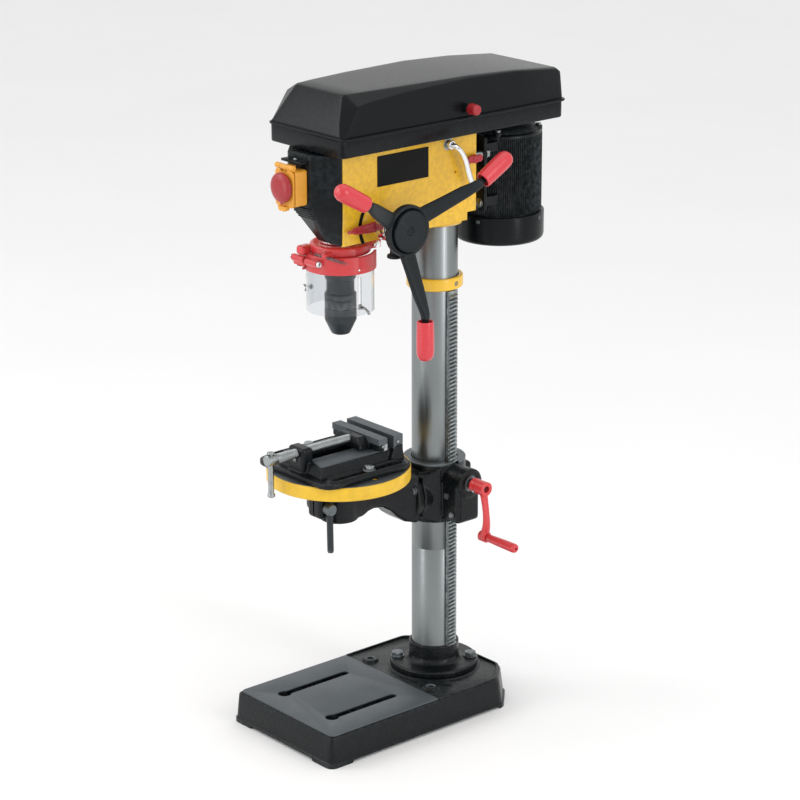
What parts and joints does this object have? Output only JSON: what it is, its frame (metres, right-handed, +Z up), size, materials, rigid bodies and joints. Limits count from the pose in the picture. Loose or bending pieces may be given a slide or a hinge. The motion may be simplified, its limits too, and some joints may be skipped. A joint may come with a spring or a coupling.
{
  "type": "bench drill press",
  "caption": "Belt-driven bench drill press with a cast base, round column, crank-lifted tilting table with machine vise, quill feed with spoked handles and a flip-up chuck guard.",
  "frame": {"origin": "on the bench, under the middle of the whole press's box", "axes": "+Z up the column; -Y the front, where the operator stands; +X the side with the feed handles and the lift crank"},
  "size_m": [0.307, 0.528, 1.002],
  "materials": {
    "yellow_paint": "semi-gloss enamel",
    "black_paint": "satin enamel",
    "steel": "ground",
    "machined_iron": "machined",
    "zinc": "bright zinc plate",
    "red_plastic": "moulded",
    "black_plastic": "moulded",
    "yellow_plastic": "moulded",
    "green_plastic": "moulded",
    "clear_plastic": "clear polycarbonate",
    "rubber": "vee belt",
    "aluminium": "turned"
  },
  "bodies": {
    "stand": {"base": "black_paint", "column_flange": "black_paint", "flange_bolt_1": "black_paint", "flange_bolt_2": "black_paint", "flange_bolt_3": "black_paint", "column": "steel", "rack_collar": "yellow_paint", "head_casting": "yellow_paint", "nose_cover": "black_paint", "switch_box": "yellow_plastic", "depth_scale": "black_plastic", "return_spring_cap": "black_plastic", "drive_belt": "rubber", "belt_tray": "black_paint"},
    "table_swing": {"column_rack": "steel"},
    "table_bracket": {"table_bracket": "black_paint"},
    "lift_gear": {"lift_gear": "steel"},
    "crank": {"crank_shaft": "steel", "crank_arm": "red_plastic"},
    "crank_grip": {"crank_grip": "red_plastic"},
    "column_lock": {"column_lock_lever": "black_plastic"},
    "table_arm": {"table_arm": "black_paint"},
    "table_lock": {"table_lock_lever": "black_plastic"},
    "table": {"table": "machined_iron", "vise_body": "black_paint", "vise_bolt_left": "zinc", "vise_bolt_right": "zinc"},
    "vise_jaw": {"movable_jaw": "black_paint"},
    "vise_screw": {"vise_screw": "zinc"},
    "vise_bar": {"vise_bar": "zinc"},
    "quill": {"quill": "steel", "guard_clamp_ring": "red_plastic"},
    "spindle": {"spindle": "steel", "chuck_body": "black_paint"},
    "chuck_sleeve": {"chuck_sleeve": "black_paint"},
    "guard": {"guard_ring": "red_plastic"},
    "guard_shield": {"guard_shield": "clear_plastic"},
    "feed": {"feed_shaft": "steel", "feed_hub": "black_plastic", "hub_cap": "black_plastic", "feed_grip_1": "red_plastic", "feed_grip_2": "red_plastic", "feed_grip_3": "red_plastic"},
    "depth_stop": {"depth_stop_collar": "zinc", "depth_pointer": "red_plastic"},
    "depth_lock": {"depth_lock_screw": "black_plastic"},
    "spindle_drive": {"spindle_pulley": "aluminium"},
    "motor": {"motor_body": "black_paint", "motor_fan_cover": "black_paint", "motor_mount": "black_paint"},
    "motor_drive": {"motor_pulley": "aluminium", "motor_shaft": "steel"},
    "tension_lever": {"tension_lever": "steel"},
    "motor_lock": {"motor_lock_screw": "red_plastic"},
    "lid": {"lid": "black_paint", "lid_knob": "red_plastic"},
    "switch_flap": {"switch_flap": "yellow_plastic"},
    "stop_button": {"stop_button": "red_plastic"},
    "start_button": {"start_button": "green_plastic"}
  },
  "joints": [
    {"name": "table_swing", "type": "hinge", "parent": "stand", "child": "table_swing", "pos_m": [-0.0335, 0.064, 0.425], "axis": [0, 0, 1], "range_deg": [-90, 90]},
    {"name": "table_lift", "type": "slide", "parent": "table_swing", "child": "table_bracket", "axis": [0, 0, 1], "range_m": [-0.16, 0.055]},
    {"name": "lift_gear_turn", "type": "hinge", "parent": "table_bracket", "child": "lift_gear", "pos_m": [0.022, 0.064, 0.349], "axis": [0, 1, 0], "range_deg": [-1100, 1100]},
    {"name": "crank_turn", "type": "hinge", "parent": "table_bracket", "child": "crank", "pos_m": [0.0565, 0.064, 0.372], "axis": [1, 0, 0], "range_deg": [-9300, 9300]},
    {"name": "crank_grip_spin", "type": "hinge", "parent": "crank", "child": "crank_grip", "pos_m": [0.1165, 0.064, 0.295], "axis": [1, 0, 0], "continuous": true},
    {"name": "column_lock_turn", "type": "hinge", "parent": "table_bracket", "child": "column_lock", "pos_m": [-0.0335, 0.118, 0.35], "axis": [1, 0, 0], "range_deg": [-30, 30]},
    {"name": "table_tilt", "type": "hinge", "parent": "table_bracket", "child": "table_arm", "pos_m": [-0.0335, 0.01, 0.345], "axis": [0, 1, 0], "range_deg": [-45, 45]},
    {"name": "table_lock_turn", "type": "hinge", "parent": "table_arm", "child": "table_lock", "pos_m": [-0.0335, -0.164, 0.368], "axis": [1, 0, 0], "range_deg": [-30, 15]},
    {"name": "table_turn", "type": "hinge", "parent": "table_arm", "child": "table", "pos_m": [-0.0335, -0.127, 0.425], "axis": [0, 0, 1], "range_deg": [-90, 90]},
    {"name": "vise_jaw_slide", "type": "slide", "parent": "table", "child": "vise_jaw", "axis": [0, 1, 0], "range_m": [-0.07, 0.0115]},
    {"name": "vise_screw_turn", "type": "hinge", "parent": "vise_jaw", "child": "vise_screw", "pos_m": [-0.0335, -0.136, 0.461], "axis": [0, 1, 0], "range_deg": [-6500, 6500]},
    {"name": "vise_bar_slide", "type": "slide", "parent": "vise_screw", "child": "vise_bar", "axis": [0, 0, 1], "range_m": [0, 0.04]},
    {"name": "quill_feed", "type": "slide", "parent": "stand", "child": "quill", "axis": [0, 0, -1], "range_m": [0, 0.06], "stiffness_N_per_m": 500, "springref_m": -0.08},
    {"name": "feed_turn", "type": "hinge", "parent": "stand", "child": "feed", "pos_m": [-0.0335, -0.085, 0.801], "axis": [1, 0, 0], "range_deg": [0, 290]},
    {"name": "depth_stop_turn", "type": "hinge", "parent": "stand", "child": "depth_stop", "pos_m": [-0.0335, -0.085, 0.801], "axis": [1, 0, 0], "range_deg": [-60, 60]},
    {"name": "depth_lock_turn", "type": "hinge", "parent": "depth_stop", "child": "depth_lock", "pos_m": [0.0475, -0.085, 0.78], "axis": [0, 0, 1], "range_deg": [-90, 90]},
    {"name": "guard_flip", "type": "hinge", "parent": "quill", "child": "guard", "pos_m": [-0.0335, -0.177, 0.748], "axis": [-1, 0, 0], "range_deg": [0, 90]},
    {"name": "guard_shield_slide", "type": "slide", "parent": "guard", "child": "guard_shield", "axis": [0, 0, -1], "range_m": [0, 0.04]},
    {"name": "spindle_spin", "type": "hinge", "parent": "quill", "child": "spindle", "pos_m": [-0.0335, -0.1205, 0.779], "axis": [0, 0, 1], "continuous": true},
    {"name": "spindle_pulley_spin", "type": "hinge", "parent": "stand", "child": "spindle_drive", "pos_m": [-0.0335, -0.1205, 0.922], "axis": [0, 0, 1], "continuous": true},
    {"name": "motor_spin", "type": "hinge", "parent": "motor", "child": "motor_drive", "pos_m": [-0.0335, 0.195, 0.922], "axis": [0, 0, 1], "continuous": true},
    {"name": "motor_slide", "type": "slide", "parent": "stand", "child": "motor", "axis": [0, 1, 0], "range_m": [-0.012, 0], "deforming": ["drive_belt"]},
    {"name": "tension_lever_turn", "type": "hinge", "parent": "stand", "child": "tension_lever", "pos_m": [0.0235, 0.04, 0.9], "axis": [1, 0, 0], "range_deg": [-30, 30]},
    {"name": "motor_lock_turn", "type": "hinge", "parent": "stand", "child": "motor_lock", "pos_m": [0.0235, 0.086, 0.872], "axis": [1, 0, 0], "range_deg": [-45, 45]},
    {"name": "lid_open", "type": "hinge", "parent": "stand", "child": "lid", "pos_m": [-0.126, 0.064, 0.939], "axis": [0, -1, 0], "range_deg": [0, 95]},
    {"name": "switch_flap_open", "type": "hinge", "parent": "stand", "child": "switch_flap", "pos_m": [-0.0335, -0.2205, 0.8965], "axis": [-1, 0, 0], "range_deg": [0, 100]},
    {"name": "stop_button_press", "type": "slide", "parent": "switch_flap", "child": "stop_button", "axis": [0, 1, 0], "range_m": [0, 0.0023], "stiffness_N_per_m": 500, "springref_m": -0.001},
    {"name": "start_button_press", "type": "slide", "parent": "stand", "child": "start_button", "axis": [0, 1, 0], "range_m": [0, 0.0015], "stiffness_N_per_m": 500, "springref_m": -0.001},
    {"name": "chuck_sleeve_turn", "type": "hinge", "parent": "spindle", "child": "chuck_sleeve", "pos_m": [-0.0335, -0.1205, 0.65], "axis": [0, 0, 1], "range_deg": [-360, 360]}
  ],
  "couplings": [
    {"joint": "lift_gear_turn", "follows": "table_lift", "rad_per_m": -83.333},
    {"joint": "crank_turn", "follows": "table_lift", "rad_per_m": 1000},
    {"joint": "vise_screw_turn", "follows": "vise_jaw_slide", "rad_per_m": 1570.8},
    {"joint": "feed_turn", "follows": "quill_feed", "rad_per_m": 83.333},
    {"joint": "spindle_pulley_spin", "follows": "spindle_spin", "ratio": 1},
    {"joint": "motor_spin", "follows": "spindle_spin", "ratio": 1.2941},
    {"joint": "tension_lever_turn", "follows": "motor_slide", "rad_per_m": 40}
  ]
}
